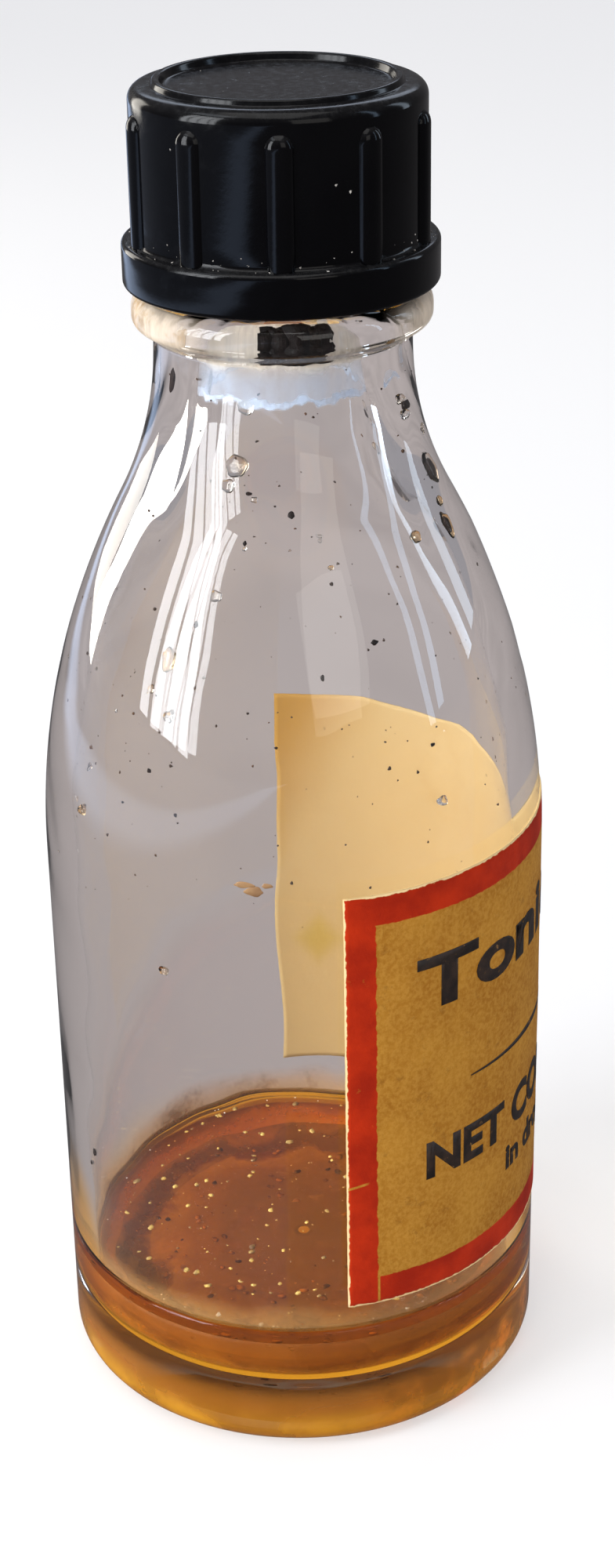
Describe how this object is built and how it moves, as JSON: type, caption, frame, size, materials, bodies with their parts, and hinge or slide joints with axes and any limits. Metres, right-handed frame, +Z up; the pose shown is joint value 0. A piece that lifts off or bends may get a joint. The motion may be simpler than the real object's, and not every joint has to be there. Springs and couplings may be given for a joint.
{
  "type": "medicine bottle",
  "caption": "Round clear glass medicine bottle with a ribbed black screw cap, a wrap-around paper label and a little amber liquid left inside.",
  "frame": {"origin": "centre of the base, on the plane that the bottle stands on", "axes": "+Z up along the bottle's axis towards the cap; the middle of the label faces -Y"},
  "size_m": [0.0414, 0.0412, 0.11],
  "materials": {
    "clear_glass": "gloss",
    "black_phenolic": "gloss",
    "pulp_board": "matte",
    "waxed_paper": "satin",
    "label_paper": "matte",
    "amber_liquid": "gloss",
    "dried_residue": "matte"
  },
  "bodies": {
    "bottle": {"glass_bottle": "clear_glass", "bottle_label": "label_paper", "medicine_liquid": "amber_liquid", "neck_residue": "dried_residue"},
    "liner": {"cap_liner": "pulp_board", "liner_facing": "waxed_paper"},
    "cap": {"screw_cap": "black_phenolic"}
  },
  "joints": [
    {"name": "cap_lift", "type": "slide", "parent": "bottle", "child": "liner", "axis": [0, 0, 1], "range_m": [0, 0.015]},
    {"name": "cap_turn", "type": "hinge", "parent": "liner", "child": "cap", "pos_m": [0, 0, 0.1], "axis": [0, 0, 1], "range_deg": [0, 1805]}
  ],
  "couplings": [
    {"joint": "cap_turn", "follows": "cap_lift", "rad_per_m": 2094.4}
  ]
}
